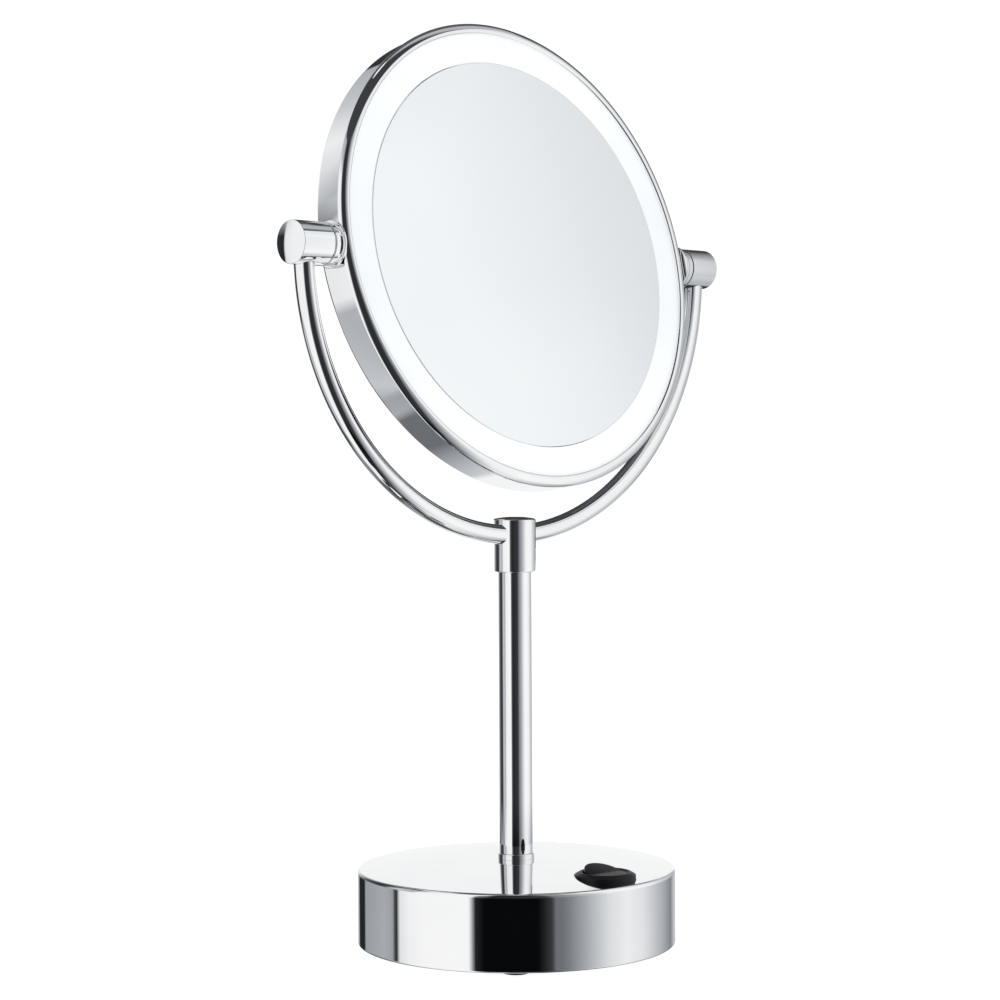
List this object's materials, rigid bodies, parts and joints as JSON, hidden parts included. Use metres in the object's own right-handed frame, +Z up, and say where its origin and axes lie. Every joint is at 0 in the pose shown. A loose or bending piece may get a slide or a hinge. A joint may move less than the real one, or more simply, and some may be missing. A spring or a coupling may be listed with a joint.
{
  "type": "lighted shaving mirror",
  "caption": "Free-standing lighted mirror: round head tilting in a half-round yoke on a slim post that turns in a heavy drum base with a rocker switch.",
  "frame": {"origin": "centre of the base on the floor plane, under the post's axis", "axes": "+Z up the post, -Y the way the mirror faces, +X along the head's tilt axis towards the right knob as the mirror is seen from the front"},
  "size_m": [0.2528, 0.14, 0.4064],
  "materials": {
    "chrome": "polished",
    "steel": "plain",
    "satin_cover": "satin",
    "ballast_iron": "rough",
    "black_rubber": "matte",
    "black_plastic": "fine grain",
    "white_plastic": "matte",
    "contact_brass": "plain",
    "cell_wrap": "gloss wrap",
    "circuit_board": "satin",
    "wire": "satin",
    "mirror": "polished",
    "lit_ring": "frosted, lit from behind"
  },
  "bodies": {
    "base": {"base_shell": "chrome", "base_ballast": "ballast_iron", "base_cover": "black_plastic", "foot_1": "black_rubber", "foot_2": "black_rubber", "foot_3": "black_rubber", "foot_4": "black_rubber", "cover_screw_1": "steel", "cover_screw_2": "steel", "cover_screw_3": "steel", "battery_tray": "black_plastic", "battery_cell_1": "cell_wrap", "battery_cell_2": "cell_wrap", "battery_cell_3": "cell_wrap", "battery_cell_4": "cell_wrap", "battery_spring_1": "steel", "battery_spring_2": "steel", "battery_spring_3": "steel", "battery_spring_4": "steel", "contact_plate_1": "contact_brass", "contact_plate_2": "contact_brass", "contact_plate_3": "contact_brass", "contact_plate_4": "contact_brass", "contact_plate_5": "contact_brass", "driver_board": "circuit_board", "switch_housing": "black_rubber", "switch_terminal_1": "contact_brass", "switch_terminal_2": "contact_brass", "post_bushing": "white_plastic"},
    "battery_door": {"battery_door": "black_plastic"},
    "rocker": {"switch_rocker": "black_rubber"},
    "post": {"post_collar": "chrome", "post_tube": "chrome", "post_stud": "steel", "post_wave_washer": "steel", "post_stop_washer": "steel", "post_nut": "steel", "yoke_socket": "chrome", "socket_grub_screw": "steel", "yoke_tube": "chrome", "post_lead": "wire", "yoke_lead": "wire", "left_knob": "chrome", "right_knob": "chrome", "left_pivot_pin": "steel", "right_pivot_pin": "steel", "left_pivot_nut": "steel", "right_pivot_nut": "steel"},
    "head": {"front_bezel": "chrome", "head_band": "chrome", "back_cover": "satin_cover", "mirror_glass": "mirror", "diffuser_ring": "lit_ring", "backing_pad": "black_rubber", "light_tray": "white_plastic", "led_board": "circuit_board", "left_pivot_ring": "chrome", "right_pivot_ring": "chrome"}
  },
  "joints": [
    {"name": "post_swivel", "type": "hinge", "parent": "base", "child": "post", "pos_m": [0, 0, 0.0392], "axis": [0, 0, 1], "range_deg": [-165, 165]},
    {"name": "head_tilt", "type": "hinge", "parent": "post", "child": "head", "pos_m": [0, 0, 0.3033], "axis": [-1, 0, 0], "range_deg": [-101.6, 78.4]},
    {"name": "rocker_flip", "type": "hinge", "parent": "base", "child": "rocker", "pos_m": [0, -0.0538, 0.0374], "axis": [-1, 0, 0], "range_deg": [0, 19]},
    {"name": "battery_door_hinge", "type": "hinge", "parent": "base", "child": "battery_door", "pos_m": [0, 0.0375, 0.0039], "axis": [1, 0, 0], "range_deg": [0, 100]}
  ]
}
